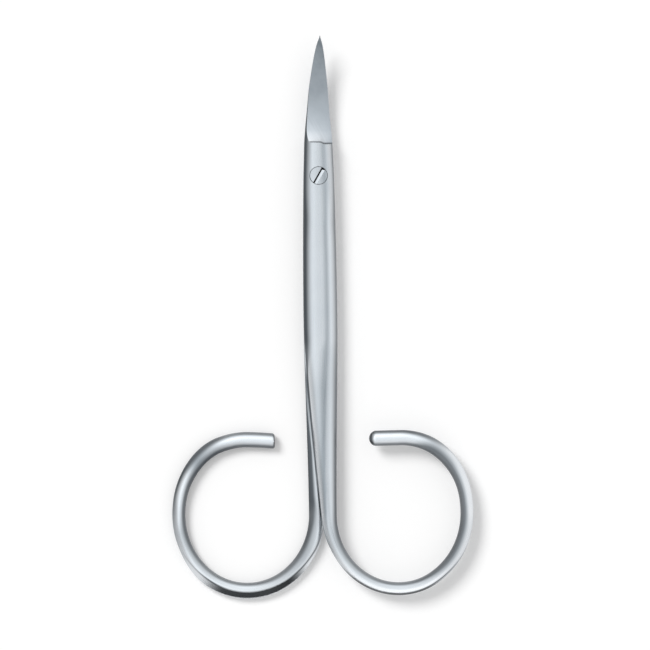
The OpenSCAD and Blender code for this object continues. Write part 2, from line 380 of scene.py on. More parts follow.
def tail_stations(along, keep, side):
    """Stations at the lengths along the straight tail, each drawn in to a share of its size."""
    last = {name: values[0] for name, values in ring_stations(np.array([top_turn]), side).items()}
    y = tail_from[1] + bent_out[side][-1] - tail_dip[side] * (along / tail_l) ** dip_power
    last.update(x=tail_from[0] - along, y=y, out_x=0, out_y=1, keep=keep)
    return stretch(len(along), **last)


def end_stations(count, side):
    """The rounding of the free end, a quarter turn: a dome, or the small radius of a broken edge."""
    turn = np.radians(np.linspace(0, dome_turn, count))
    length, inset = (dome_l, 1) if side > 0 else (break_l, break_l / (wire_end_w / 2))
    along = tail_l - length * (1 - np.sin(turn) / np.sin(turn[-1]))
    return tail_stations(along, 1 - (1 - np.cos(turn)) * inset, side)


# %% All the stations of one half
first_step = 0.12
blade_count, front_count, shank_count, taper_count, tail_count, end_count = 120, 50, 70, 110, 16, 14


def half_stations(side):
    """From the blade's tip to the ring's free end. Side is 1 for the upper half and -1 for the lower one."""
    length = tail_l - (dome_l if side > 0 else break_l)
    return joined([
        blade_stations(blade_count, side),
        shank_stations(np.linspace(first_step - joint_front_l, joint_back_l, front_count)),
        shank_stations(np.linspace(joint_back_l, taper_start_l, shank_count)[1:]),
        shank_stations(np.linspace(taper_start_l, ring_drop, taper_count)[1:-1]),
        ring_stations(np.linspace(neck_turn, top_turn, top_turn - neck_turn + 1), side),
        tail_stations(np.linspace(0, length, tail_count)[1:-1], 1, side),
        end_stations(end_count, side),
    ])


print("stations in a half:", len(half_stations(1)["x"]))

# %% [markdown]
# ## From stations to a surface
#
# A point of the forging has two parameters: its station, and its angle round the section. The section is a
# superellipse, an ellipse whose corners can be made squarer, drawn above and below its widest line with
# different heights. The surface then follows the blades' bow: flat around the pivot, and from the root on
# an arc that lifts the tips off the table. A lower half is the same forging turned over about the Y axis.

# %% The section formula
columns = 96
lift_r = (blade_l ** 2 + tip_rise ** 2) / (2 * tip_rise)


def squared(c, square):
    """A cosine or sine raised to the power 2 / square, with its sign kept."""
    return np.sign(c) * np.abs(c) ** (2 / square)


def lift(x, y):
    """Height of the blades' bow: an arc of one radius over the distance from the joint's front."""
    reach = np.where(y > 0, np.maximum(0, np.hypot(x, y) - joint_front_l), 0)
    return lift_r - np.sqrt(lift_r ** 2 - reach ** 2)


def section_points(st, angle):
    """Across and up for every station (rows) and angle (columns). Across is half the width times the squared
    cosine, from a crest that leans to the inner side; up is the height over the widest line times the
    squared sine."""
    col = {name: values[:, None] for name, values in st.items()}
    up = np.sin(angle) >= 0
    square = np.where(up, col["top_square"], col["low_square"])
    rise = np.where(up, col["high"] - col["mid"], col["mid"] - col["low"])
    across = squared(np.cos(angle), square)
    across = col["half"] * (across * (1 + col["lean"] * np.sign(across)) - col["lean"])
    return across, col["mid"] + rise * squared(np.sin(angle), square)


# %% [markdown]
# The outer flat of a ring is a plane cut: whatever stands out beyond a line from the crease to the foot is
# brought back to it. Two columns of the surface follow the crease and the foot, so that both stay crisp.

# %% Where the columns of the surface run
bevel_foot_share = 0.13
bevel_shows = 0.1
rest_crease, rest_foot = 45, 7.5
first_turn, last_turn = 270, -90


def crease_angles(st):
    """The angles of the flat's crease and of its foot, for each station."""
    half_out = st["half"] * (1 + st["lean"])
    crease = np.arccos(np.clip(1 - st["bevel"] / half_out, -1, 1))
    return crease, bevel_foot_share * crease


def column_angles(st, side):
    """One row of angles per station. They are even, except that on a bevelled stretch two of them move onto
    the crease and the foot, and their neighbours make room."""
    even = np.linspace(first_turn, last_turn, columns, endpoint=False)
    crease, foot = np.degrees(crease_angles(st))
    fade = ease(st["bevel"] / bevel_shows)
    crease = mix(side * rest_crease, side * crease, fade)
    foot = mix(side * rest_foot, side * foot, fade)
    known = np.sort([last_turn, side * rest_foot, side * rest_crease, first_turn])
    moved = np.stack([0 * foot + last_turn, foot, crease, 0 * foot + first_turn], axis=1)
    return np.radians([np.interp(even, known, row) for row in np.sort(moved, axis=1)])


def bevelled(st, across, up, side):
    """The section with its outer flat: points beyond the line from crease to foot are drawn in to it."""
    crease, foot = crease_angles(st)
    half_out, rise = st["half"] * (1 + st["lean"]), st["high"] - st["mid"]
    centre = (-st["lean"] * st["half"])[:, None]
    normal = np.stack([rise * (np.sin(crease) - np.sin(foot)), half_out * (np.cos(foot) - np.cos(crease))])
    reach = normal[0] * half_out * np.cos(crease) + normal[1] * rise * np.sin(crease)
    level = normal[0][:, None] * (across - centre) + normal[1][:, None] * side * (up - wire_mid)
    beyond = (st["bevel"][:, None] > 1e-6) & (level > reach[:, None])
    k = np.where(beyond, reach[:, None] / np.where(beyond, level, 1), 1)
    return centre + (across - centre) * k, wire_mid + (up - wire_mid) * k, beyond


# %% [markdown]
# The last thing to know about each point is its finish, with the light and shade that are painted into it.
# A belt brushes the faces that lie upwards or downwards, and the outer side of the rings. It can't reach
# down the steep sides or into the rings, which keep the darker skin that they got in the tumbling drum; that
# darkness is also painted shade, where a side turns away from the light. So the steepness of the surface says
# where which finish is, and the map is kept as a colour on the mesh. Red is the tumbled skin with painted
# shade, green is painted black shade and dark reflection, and blue is how much duller and darker a point is
# painted, a level of painted light and shade as much as of polish. The tables below give one value for each
# of the finish places, as the painted light and shade change along the forging: the polish level, and a lean
# in degrees at which the skin starts, how many degrees more make it whole, and how dark it is then, for each
# side of the crest.

# %% How far the belt reached, and the painted light and shade, along each half
# The polish and skin levels below are painted light and shade as much as finish, given place by place.
finish_places = [
    -30, 0, 15, 40, 120, 180, 200, 215, 240, 270, 290, 315, 345, 360, 375, 390, 405, 420, 436, 450]
upper_finish_and_shade = {
    "polish_and_light": [.7, .72, .74, .8, .87, .82, .62, .73, .9, 1, .95, .85, .88, .98, 1, 1, 1, .7, 1, 1],
    "inner_from": [28, 15, 10, 4, 3, 4, -10, -18, -16, -10, -14, -30, -34, -31, -28, -32, -45, -35, -4, 0],
    "inner_over": [50, 45, 45, 48, 48, 50, 60, 60, 60, 55, 50, 48, 50, 45, 45, 50, 60, 55, 50, 50],
    "inner_skin_and_shade": [
        .78, .7, .72, .78, .82, .86, .76, .7, .66, .64, .7, .8, .84, .83, .82, .85, .88, .88, .85, .8],
    "outer_from": [9, 6, 12, 46, 51, 52, 50, 50, 60, 60, 60, 60, 60, 60, 60, 60, 40, 10, 8, 18],
    "outer_over": [40, 32, 34, 16, 14, 14, 38, 38, 38, 38, 38, 38, 38, 38, 38, 38, 38, 40, 38, 38],
    "outer_skin_and_shade": [1, 1, .9, 1, .65, .6, .3, .3, .3, .3, .3, .3, .2, .2, .2, .2, .25, .6, .8, .85],
}
lower_finish_and_shade = {
    "polish_and_light": [.72, .74, .76, .8, .8, .86, .78, .8, .98, 1, 1, .97, .58, .93, .97, .9, .34, .7, .97, .97],
    "inner_from": [28, 16, 12, 8, 0, -14, -26, -34, -28, -6, -8, -20, -8, -5, -4, -12, -12, -16, -8, -4],
    "inner_over": [50, 45, 45, 48, 48, 36, 70, 75, 70, 60, 60, 70, 50, 45, 45, 50, 60, 60, 50, 50],
    "inner_skin_and_shade": [1, 1, .95, .95, .9, .86, .9, .8, .7, .64, .64, .74, .8, .85, .88, .94, 1, 1, .92, .88],
    "outer_from": [60, 60, 60, 60, 60, 60, 60, 60, 60, 60, 60, 50, 20, -6, 12, 8, -4, -6, 12, 12],
    "outer_over": [38, 38, 38, 38, 38, 38, 38, 38, 38, 38, 38, 38, 50, 60, 40, 42, 45, 45, 42, 42],
    "outer_skin_and_shade": [.3, .3, .3, .3, .3, .3, .3, .3, .3, .3, .3, .3, .4, .7, .9, 1, .85, .85, .65, .7],
}
# A line of painted shade along the crease of a ring's flat, place by place.
crease_places = [188, 196, 215, 226, 240, 285, 300, 314, 328, 340]
crease_shade = {1: [0, 0, 0, 0.3, 0.6, 0.6, 1, 0.9, 0.2, 0], -1: [0, 0.6, 0.8, 1, 0.6, 0.6, 1, 0.6, 0.3, 0]}
crease_w = {1: 0.09, -1: 0.12}

# %% Tumbled skin and painted shade
crest_blend = 0.08


def steepness(points):
    """Angle between the surface and the table, in degrees, from the cross product of its two directions."""
    ahead = np.gradient(points, axis=0)
    round_it = np.roll(points, -1, axis=1) - np.roll(points, 1, axis=1)
    normal = np.cross(ahead, round_it)
    size = np.maximum(np.linalg.norm(normal, axis=2), 1e-12)
    return np.degrees(np.arccos(np.clip(np.abs(normal[..., 2]) / size, 0, 1)))


def tumbled_skin_and_shade(here, tilt, from_crest):
    """How much skin and painted shade a point gets from its steepness: none up to some lean towards the
    finger or away from it, and the table's share in full at so many degrees more."""
    inward = tilt * mix(1, -1, ease(share(from_crest, -crest_blend, crest_blend)))
    inner = here["inner_skin_and_shade"] * ease((inward - here["inner_from"]) / here["inner_over"])
    outer = here["outer_skin_and_shade"] * ease((-inward - here["outer_from"]) / here["outer_over"])
    return inner + outer


# %% [markdown]
# On the upper shank a stripe of painted shade runs near its right edge, the face on the left of that is
# painted a little darker too, and the left edge itself has a narrow painted glint.

# %% Painted stripe and glint
# Here and below, two numbers are where something starts and is full, and four are those of a window.
stripe_places = [-30, 0, 15, 60, 130, 158]
stripe_from_edge = [1.4, 1.62, 1.8, 1.95, 2.05, 1.9]
stripe_widths = [0.55, 0.42, 0.62, 0.75, 0.75, 0.75]
stripe_shades = [0.34, 0.35, 0.38, 0.33, 0.42, 0.42]
stripe_out = (175, 205)
# The left face is painted a little darker, and the glint is a painted highlight on the left edge.
face_shade, face_places, face_edge, face_blend = 0.24, (5, 60), (0.2, 0.9), 0.5
glint_w, glint_places = 0.3, (45, 90)


def stripe_and_glint(st, across):
    """Extra painted shade, which is a bell over the stripe plus a level on the left face, and the painted
    glint, which is a bell at the left edge."""
    spot = st["place"]
    fade = 1 - ease(share(spot, *stripe_out))
    width = through(stripe_places, stripe_widths, spot)[:, None]
    from_stripe = across + (st["half"] - through(stripe_places, stripe_from_edge, spot))[:, None]
    from_edge = st["half"][:, None] - across
    dull_and_shade = (through(stripe_places, stripe_shades, spot) * fade)[:, None] * bell(from_stripe, width)
    left_face = ease(share(from_edge, *face_edge)) * (1 - ease(share(-from_stripe, 0, face_blend)))
    dull_and_shade = dull_and_shade + (face_shade * ease(share(spot, *face_places)) * fade)[:, None] * left_face
    return dull_and_shade, (ease(share(spot, *glint_places)) * fade)[:, None] * bell(from_edge, glint_w)


# %% [markdown]
# The lower shank shows only as a strip beside the upper one. Most of the strip is painted in shade, the
# corner between the halves is a painted dark line of shade, and where the two necks part a narrow slit is
# painted black as deep shade. All three follow the distance from the upper half's edge.

# %% The strip beside the seam
# The strip, the corner and the slit are painted shade.
seam_face_shade, seam_face_from = 0.96, (-0.3, -0.05)
seam_face_seen, seam_face_height = (15, 45, 166, 184), (-0.3, 0)
open_from, open_full, open_places = 0.26, (0.55, 1.05), (115, 160)
corner_out, corner_left, corner_places = (0.12, 0.28), 0.85, (50, 110)
slit_w, slit_places, slit_height = 0.26, (142, 166, 180, 186), (-0.6, -0.3)


def seam_strip(skin_and_shade, points, st, across):
    """The skin with the strip's painted shade laid over it, and the painted black shade of the slit, which is
    whole within half its width and gone at its width."""
    spot = st["place"]
    under = (seam_x(-st["y"]) + st["x"])[:, None] - across
    height = (points[..., 2] - points[..., 2].mean(axis=1, keepdims=True)) / MM
    open_to = mix(*open_full, share(spot, *open_places))[:, None]
    at_corner = mix(corner_left, 0, share(spot, *corner_places))[:, None]
    corner = np.maximum(1 - ease(share(under, *corner_out)), at_corner)
    face = np.maximum(ease(share(under, open_from, open_to)), corner) * ease(share(under, *seam_face_from))
    seen = ease(share(height, *seam_face_height)) * window(spot, *seam_face_seen)[:, None]
    near = (1 - ease(share(np.abs(under), slit_w / 2, slit_w))) * ease(share(height, *slit_height))
    return mix(skin_and_shade, seam_face_shade * face, seen), near * window(spot, *slit_places)[:, None]


# %% [markdown]
# A ring's outer flat is painted black over its lower stretch, as a dark reflection, but on the left ring it
# starts with a painted bright reflection. A line of painted shade runs along its crease. The free ends are
# painted in shade too, and their sides are painted black.

# %% The whole map
# Painted dark and bright reflections on a ring's flat, and painted shade on the crease and free ends.
flat_shade, flat_light = (215, 236, 289, 312), (182, 194, 214, 230)
crease_black, crease_black_at = 0.6, (196, 214, 300, 316)
steep = 80
end_shade, end_shade_from = {1: 0.9, -1: 0.45}, (0.02, 0.2)
end_black_shade, end_black_shade_from = 0.8, {1: (0.02, 0.1), -1: (0.05, 0.14)}
dome_side = (0.1, 0.7)


def finish_and_shade_map(points, st, across, flat, side):
    """Red, green and blue of the finish and its painted light and shade for every point, as the texts above
    say.
    """
    spot, gone = st["place"], 1 - st["keep"]
    table = upper_finish_and_shade if side > 0 else lower_finish_and_shade
    here = {name: through(finish_places, values, spot)[:, None] for name, values in table.items()}
    tilt = steepness(points)
    from_crest = across + (st["lean"] * st["half"])[:, None]
    # Skin: the tumbled skin and painted shade on the steep sides.
    skin_and_shade = tumbled_skin_and_shade(here, tilt, from_crest)
    crease = (st["half"] * (1 + st["lean"]) * np.cos(crease_angles(st)[0]))[:, None]
    crease_mark = through(crease_places, crease_shade[side], spot)[:, None] * (tilt < steep)
    crease_mark = crease_mark * bell(from_crest - crease, crease_w[side])
    end_shade_share = (end_shade[side] * ease(share(gone, *end_shade_from)))[:, None]
    cap_side = ease(share(gone, *end_black_shade_from[side]))[:, None]
    black_shade = flat * window(spot, *flat_shade)[:, None]
    if side > 0:
        stripe_shade, glint = stripe_and_glint(st, across)
        flat_lit = 0
        black_shade = np.maximum(black_shade, end_black_shade * cap_side * ease(share(-across, *dome_side)))
    else:
        stripe_shade, glint = 0, 0
        flat_lit = window(spot, *flat_light)[:, None] * flat
        skin_and_shade, slit_shade = seam_strip(skin_and_shade, points, st, across)
        black_shade = np.maximum(np.maximum(black_shade, end_black_shade * cap_side), slit_shade)
        black_shade = np.maximum(black_shade, crease_black * crease_mark * window(spot, *crease_black_at)[:, None])
    skin_and_shade = np.clip(np.maximum(np.maximum(skin_and_shade * (1 - flat_lit), crease_mark), end_shade_share), 0, 1)
    # Blue: the polish level and the painted stripe of shade, less the painted glint and bright flat.
    dull_and_shade = np.clip(1 - here["polish_and_light"] + stripe_shade, 0, 1) * (1 - glint) * (1 - flat_lit)
    return np.stack([skin_and_shade, black_shade, dull_and_shade + 0 * skin_and_shade, np.ones_like(skin_and_shade)], axis=2)


# %% The surface of a half
def half_surface(side):
    """Points of the forging in metres, as rows of stations and columns round the section, with the length
    along the forging, the distance round the section, and the finish and painted shade for every point."""
    st = half_stations(side)
    across, up = section_points(st, column_angles(st, side))
    across, up, flat = bevelled(st, across, up, side)
    keep = st["keep"][:, None]
    across, up = across * keep, wire_mid + (up - wire_mid) * keep
    x = st["x"][:, None] + st["out_x"][:, None] * across
    y = st["y"][:, None] + st["out_y"][:, None] * across
    points = np.stack([side * x, y, half_t + lift(x, y) + side * up], axis=2) * MM
    middles = np.stack([st["x"], st["y"]], axis=1)
    steps = np.linalg.norm(np.diff(middles, axis=0), axis=1)
    along = np.concatenate([[0], np.cumsum(steps)])
    around = np.linalg.norm(np.diff(np.concatenate([points, points[:, :1]], axis=1), axis=1), axis=2) / MM
    around = np.concatenate([np.zeros((len(along), 1)), np.cumsum(around, axis=1)], axis=1)
    return points, along, around, finish_and_shade_map(points, st, across, flat, side)


# %% [markdown]
# ## From a grid to a mesh
#
# Blender takes the grid as it is: corners of neighbouring rows and columns make quads, and the two ends are
# closed with one face each. The lengths along and around become a UV map, which lets a grinding pattern
# follow the forging round its ring.

# %% Grid to mesh
uv_span = 200       # millimetres that one unit of the UV map stands for
plain_finish = [0, 0, 0.34, 1]


def closed_mesh(name, points, along, around, finish_and_shade=None, material_index=0):
    """A closed skin over rows of points: quads between the rows, and a face over each end."""
    rows, cols = points.shape[:2]
    r, c = np.meshgrid(np.arange(rows - 1), np.arange(cols), indexing="ij")
    n = (c + 1) % cols
    quads = np.stack([r * cols + c, r * cols + n, (r + 1) * cols + n, (r + 1) * cols + c], axis=2)
    first = list(range(cols - 1, -1, -1))
    last = list(range((rows - 1) * cols, rows * cols))
    mesh = bpy.data.meshes.new(name)
    mesh.from_pydata(points.reshape(-1, 3).tolist(), [], quads.reshape(-1, 4).tolist() + [first, last])
    corners = [(0, 0), (0, 1), (1, 1), (1, 0)]
    u = np.stack([along[r + dr] for dr, dc in corners], axis=2)
    v = np.stack([around[r + dr, c + dc] for dr, dc in corners], axis=2)
    uv = np.stack([u, v], axis=3).reshape(-1, 2)
    uv = np.concatenate([uv, np.tile([[along[0], 0.0]], (cols, 1)), np.tile([[along[-1], 0.0]], (cols, 1))])
    layer = mesh.uv_layers.new(name="along_around")
    layer.data.foreach_set("uv", (uv / uv_span).astype(np.float32).ravel())
    finish_and_shade = np.tile(plain_finish, (rows, cols, 1)) if finish_and_shade is None else finish_and_shade
    colors = np.stack([finish_and_shade[r + dr, (c + dc) % cols] for dr, dc in corners], axis=2).reshape(-1, 4)
    colors = np.concatenate([colors, finish_and_shade[0, ::-1], finish_and_shade[-1]])
    paint = mesh.color_attributes.new(name="finish_and_shade", type="FLOAT_COLOR", domain="CORNER")
    paint.data.foreach_set("color", colors.astype(np.float32).ravel())
    mesh.polygons.foreach_set("material_index", np.full(len(mesh.polygons), material_index, np.int32))
    mesh.update()
    return mesh


def placed(name, mesh):
    """A mesh as an object at the origin, in the scene."""
    piece = bpy.data.objects.new(name, mesh)
    bpy.context.scene.collection.objects.link(piece)
    return piece


# %% [markdown]
# ## Grinding and drilling
#
# The cuts are made the way the shop makes them, after the forging is shaped. Each cutter is a closed solid of
# its own, and a boolean takes it out of the half. A face that a cutter leaves keeps the cutter's material
# index and its finish map, so a ground face or a bore gets its own look, painted shade included. On a ground
# face red is a painted shadow line at the step, and in a bore or the slot it is painted black shade.

# %% Finishes by index, and the cut
SATIN, GROUND, BORED = 0, 1, 2


def cut(piece, cutters):
    """Takes the cutters out of the piece one after another, and deletes them."""
    for cutter in cutters:
        modifier = piece.modifiers.new("cut", "BOOLEAN")
        modifier.operation = "DIFFERENCE"
        modifier.solver = "MANIFOLD"
        modifier.object = cutter
        bpy.context.view_layer.update()
        shaped = piece.evaluated_get(bpy.context.evaluated_depsgraph_get())
        mesh = bpy.data.meshes.new_from_object(shaped)
        piece.modifiers.clear()
        old, piece.data = piece.data, mesh
        bpy.data.meshes.remove(old)
        bpy.data.objects.remove(cutter)
    return piece


# %% The wheel that grinds a blade
hollow_l, hollow_r = 2.7, 8
wall_l, wall_h = 0.22, 2.2
spine_gain, spine_power = 0.2, 5
step_back, step_drop, step_drop_at = 0.2, 0.27, (0.3, 1)
# The step at the blade's root gets a painted shadow line.
step_shadow_share, step_line, step_line_at = 0.72, 0.06, (-1.75, -1.3)
past_tip, askew_share = 1.05, 0.125
wheel_margin, wheel_top = 0.8, 4.5


def ground_height(s, across):
    """Height of the ground face over the parting face: a slope from the cutting edge up to the back, and
    towards the root a long hollow of one radius, where the wheel runs out of the blade, with a low wall."""
    slope = (1 + across / blade_hw(s)) / 2
    reach = np.clip(hollow_l - s * blade_l, 0, hollow_l)
    climb = hollow_r - np.sqrt(hollow_r ** 2 - reach ** 2)
    back = back_t(s) + spine_gain * np.clip(1 - s, 0, 1) ** spine_power
    wall = wall_h * (1 - share(s * blade_l, 0, wall_l))
    return joint_gap / 2 + np.maximum(0, mix(edge_t, back, slope)) + climb + wall


def blade_cutter(side, count=240, across_count=40):
    """The wheel's sweep as a block: its underside is the ground face, its top lies well above the blade."""
    s = np.linspace(past_tip, 0, count) ** 2 / past_tip
    half = blade_hw(s)[:, None] + wheel_margin
    across = half * np.linspace(-1, 1, across_count)
    low = ground_height(s[:, None], across)
    across = np.concatenate([across, across[:, ::-1]], axis=1)
    up = np.concatenate([low, np.full_like(low, wheel_top)], axis=1)
    x = (side * tip_lean * s * s)[:, None] - across
    askew = (1 - share(s, 0, askew_share))[:, None] * (step_back + step_drop * ease(share(x, *step_drop_at)))
    y = (joint_front_l + s * blade_l)[:, None] - askew
    points = np.stack([side * x, y, half_t + lift(x, y) + side * up], axis=2) * MM
    along = (past_tip - s) * blade_l
    around = np.concatenate([np.cumsum(np.abs(np.diff(across, axis=1, prepend=0)), axis=1), 4 * half], axis=1)
    # The painted shadow along the step.
    painted_dark = step_shadow_share * (1 - ease(share(s * blade_l, wall_l + step_line, wall_l + 4 * step_line)))
    finish_and_shade = np.zeros(across.shape + (4,))
    finish_and_shade[..., 0] = painted_dark[:, None] * ease(share(x, *step_line_at))
    mesh = closed_mesh("wheel", points[:, ::-1], along, around, finish_and_shade=finish_and_shade, material_index=GROUND)
    return placed("wheel", mesh)


# %% [markdown]
# A drill is a cylinder, given by its outline: radius and height pairs that turn about the pivot. The upper
# half is drilled for the screw's shoulder and counterbored for its head. The lower half has the threaded
# hole, and a straight block grinds its underside flat, so that the scissors rest on it.

# %% Turned shapes
def turned(name, radii, heights, around_count=128, material_index=BORED):
    """A solid of revolution about the Z axis, with its outline given from the bottom to the top."""
    radii, heights = np.asarray(radii, float), np.asarray(heights, float)
    angle = np.linspace(0, 2 * np.pi, around_count, endpoint=False)
    r, z = radii[:, None], heights[:, None]
    points = np.stack([r * np.cos(angle), r * np.sin(angle), z + 0 * angle], axis=2) * MM
    along = np.concatenate([[0], np.cumsum(np.hypot(np.diff(radii), np.diff(heights)))])
    around = r * np.linspace(0, 2 * np.pi, around_count + 1)
    return placed(name, closed_mesh(name, points, along, around, material_index=material_index))


def prism(name, outline, start, end, turn=0, lying=False, finish_and_shade=plain_finish, material_index=BORED):
    """A straight block over an outline in millimetres, turned clockwise about the Z axis. Standing, the
    outline lies in plan and the block runs up; lying, the outline is across and up and it runs along Y."""
    outline = np.asarray(outline, float)
    ends = [np.full(len(outline), level) for level in (start, end)]
    a, b = outline.T
    points = np.stack([np.column_stack([a, level, b] if lying else [a, b, level]) for level in ends])
    c, s = math.cos(math.radians(turn)), math.sin(math.radians(turn))
    points[..., :2] = points[..., :2] @ np.array([[c, -s], [s, c]])
    along, around = np.array([0, end - start]), np.zeros((2, len(outline) + 1))
    finish_and_shade = np.tile(finish_and_shade, points.shape[:2] + (1,))
    return placed(name, closed_mesh(name, points * MM, along, around, finish_and_shade, material_index))


# %% The two halves
over = 0.5      # how far a cutter reaches past the faces that it opens


def make_half(name, side):
    """A forging, cut to a finished half."""
    piece = placed(name, closed_mesh(name, *half_surface(side)))
    cutters = [blade_cutter(side)]
    if side > 0:
        bore, sink = shoulder_d / 2 + run_clear, head_d / 2 + head_clear
        seat = head_low - joint_gap / 2
        heights = [half_t - over, seat, seat, head_top + over]
        cutters.append(turned("drill", [bore, bore, sink, sink], heights))
    else:
        cutters.append(turned("drill", [thread_d / 2] * 2, [-over, half_t + over]))
        wide, front = shank_hw + over, joint_front_l + hollow_l
        under = [(-wide, -ring_drop / 2), (wide, -ring_drop / 2), (wide, front), (-wide, front)]
        cutters.append(prism("rest", under, -half_t, 0, material_index=GROUND))
    return cut(piece, cutters)


upper_steel = make_half("upper_forging", 1)
lower_steel = make_half("lower_forging", -1)
for piece in (upper_steel, lower_steel):
    print(piece.name, len(piece.data.vertices), "points,", len(piece.data.polygons), "faces")

# %% [markdown]
# ## The pivot screw
#
# The screw's head was ground together with the joint, so its top follows the joint's crown instead of being
# flat, and it carries the joint's painted stripe of shade and a little more painted shade. It is a turned
# outline like the drills, and its top is then lowered to the crown's height. The slot is cut last. It is more
# than a box: a narrow groove runs along its left wall, painted black as shade, the floor beside it is painted
# a little brighter and leans a little, and the driver's blade has broken the rim at the slot's upper end,
# which is painted black as shade too.

# %% Screw
slot_aside = 0.12
flank_depth, flank_rise = 0.2, 0.08
groove_w = 0.24
nick_from, nick_over, nick_lean = 1, 0.05, 0.26
# The slot's floor is painted a little brighter, and its groove and nick are painted black as shade.
bright_finish, slot_shade_finish = [0, 0, 0.3, 1], [1, 0, 0, 1]
# How much more shade is painted on the screw's head.
head_shade = 0.07
end_chamfer = 0.12
disc_count, middle_r = 24, 0.02


def crown_height(x):
    """Height of the joint's crown over the parting face, across the joint at the pivot."""
    u = np.clip(np.abs(x) / joint_hw, 0, 1)
    return shank_side_h + (crown_t - shank_side_h) * (1 - u ** CROWN) ** (1 / CROWN)


def make_screw():
    """The turned screw: threaded end, shoulder and head, its top drawn down onto the crown."""
    end, shoulder, head = thread_d / 2, shoulder_d / 2, head_d / 2
    seat = half_t - joint_gap / 2
    disc = np.linspace(head - head_bevel, middle_r, disc_count)
    radii = [middle_r, end - end_chamfer, end, end, shoulder, shoulder, head, head, *disc]
    heights = [end_sink, end_sink, end_sink + end_chamfer, seat, seat, head_low, head_low]
    heights += [head_top - head_bevel] + [head_top] * len(disc)
    screw = turned("slotted_screw", radii, heights, material_index=SATIN)
    points = np.zeros(len(screw.data.vertices) * 3)
    screw.data.vertices.foreach_get("co", points)
    points = points.reshape(-1, 3)
    top = points[:, 2] > (head_top - 2 * head_bevel) * MM
    points[top, 2] -= (crown_t - crown_height(points[top, 0] / MM)) * MM
    screw.data.vertices.foreach_set("co", points.ravel())
    corner_at = np.zeros(len(screw.data.loops), np.int32)
    screw.data.loops.foreach_get("vertex_index", corner_at)
    # The head gets the joint's painted stripe of shade and a little more painted shade.
    x = points[corner_at, 0] / MM
    stripe_shade = stripe_shades[0] * bell(x - joint_hw + stripe_from_edge[0], stripe_widths[0])
    dull_and_shade = 1 - upper_finish_and_shade["polish_and_light"][0] + head_shade + stripe_shade
    finish_and_shade = np.stack([0 * x, 0 * x, dull_and_shade, 1 + 0 * x], axis=1)
    screw.data.color_attributes["finish_and_shade"].data.foreach_set("color", finish_and_shade.astype(np.float32).ravel())
    left, right = slot_aside - slot_w / 2, slot_aside + slot_w / 2
    above, bottom = head_top + over, head_top - slot_depth
    flank = [(left, head_top - flank_depth), (left, above), (right, above), (right, head_top - flank_rise)]
    groove = [(left, bottom), (left, above), (left + groove_w, above), (left + groove_w, bottom)]
    rim = right + nick_over
    nick = [(left, nick_from), (rim, nick_from + nick_lean), (rim, head_d), (left, head_d)]
    return cut(screw, [
        prism("flank", flank, -head_d, head_d, slot_angle, True, bright_finish, SATIN),
        prism("groove", groove, -head_d, head_d, slot_angle, True, slot_shade_finish),
        prism("nick", nick, bottom, above, slot_angle, finish_and_shade=slot_shade_finish),
    ])


screw_steel = make_screw()
print("screw:", len(screw_steel.data.polygons), "faces")

# %% [markdown]
# A grid of flat faces would show its facets in a polished surface. Smooth shading hides them, and an edge
# that turns by more than a set angle stays sharp: the ground edges, the slot, the rims of the bores.

# %% Smooth faces with crisp edges
crisp_angle = math.radians(24)
for piece in (upper_steel, lower_steel, screw_steel):
    piece.data.polygons.foreach_set("use_smooth", np.ones(len(piece.data.polygons), bool))
    piece.data.set_sharp_from_angle(angle=crisp_angle)

# %% [markdown]
# ## Building with nodes
#
# A shader node group is a small tool with named sockets: it is made once and placed in every material that
# needs it. A few helpers keep the making short: one adds a node and connects or sets its inputs, some add the
# nodes that are needed most often, and one starts a group with its interface.

# %% Node helpers
def add(tree, kind, inputs=None, **settings):
    """A node with its settings; each input gets a value, or a link if a socket is given."""
    node = tree.nodes.new(kind)
    for key, value in settings.items():
        setattr(node, key, value)
    for key, value in (inputs or {}).items():
        if isinstance(value, bpy.types.NodeSocket):
            tree.links.new(value, node.inputs[key])
        else:
            node.inputs[key].default_value = value
    return node


def math_node(tree, operation, *values, clamp=False):
    """One sum, product or other operation on values or sockets."""
    node = add(tree, "ShaderNodeMath", dict(enumerate(values)), operation=operation, use_clamp=clamp)
    return node.outputs[0]


def vector_node(tree, operation, *values):
    """The same on vectors. A dot product gives a plain value."""
    node = add(tree, "ShaderNodeVectorMath", dict(enumerate(values)), operation=operation)
    return node.outputs["Value" if operation == "DOT_PRODUCT" else "Vector"]


def parts_of(tree, vector):
    """The x, y and z of a vector."""
    return add(tree, "ShaderNodeSeparateXYZ", {0: vector}).outputs


def noise(tree, vector, scale=1.0, detail=2.0):
    """A soft noise of a place, about 0.5 on average."""
    return add(tree, "ShaderNodeTexNoise", {"Vector": vector, "Scale": scale, "Detail": detail}).outputs[0]


def between(tree, factor, a, b):
    """The value a where the factor is 0 and b where it is 1."""
    return add(tree, "ShaderNodeMix", {0: factor, 2: a, 3: b}).outputs[0]


def blended(tree, factor, a, b):
    """The colour a where the factor is 0 and b where it is 1."""
    return add(tree, "ShaderNodeMix", {0: factor, 6: a, 7: b}, data_type="RGBA").outputs[2]


def spread(tree, value, low, high, to_low, to_high, smooth=False):
    """The value carried over from one range to another."""
    kind = "SMOOTHSTEP" if smooth else "LINEAR"
    inputs = {0: value, 1: low, 2: high, 3: to_low, 4: to_high}
    return add(tree, "ShaderNodeMapRange", inputs, interpolation_type=kind).outputs[0]


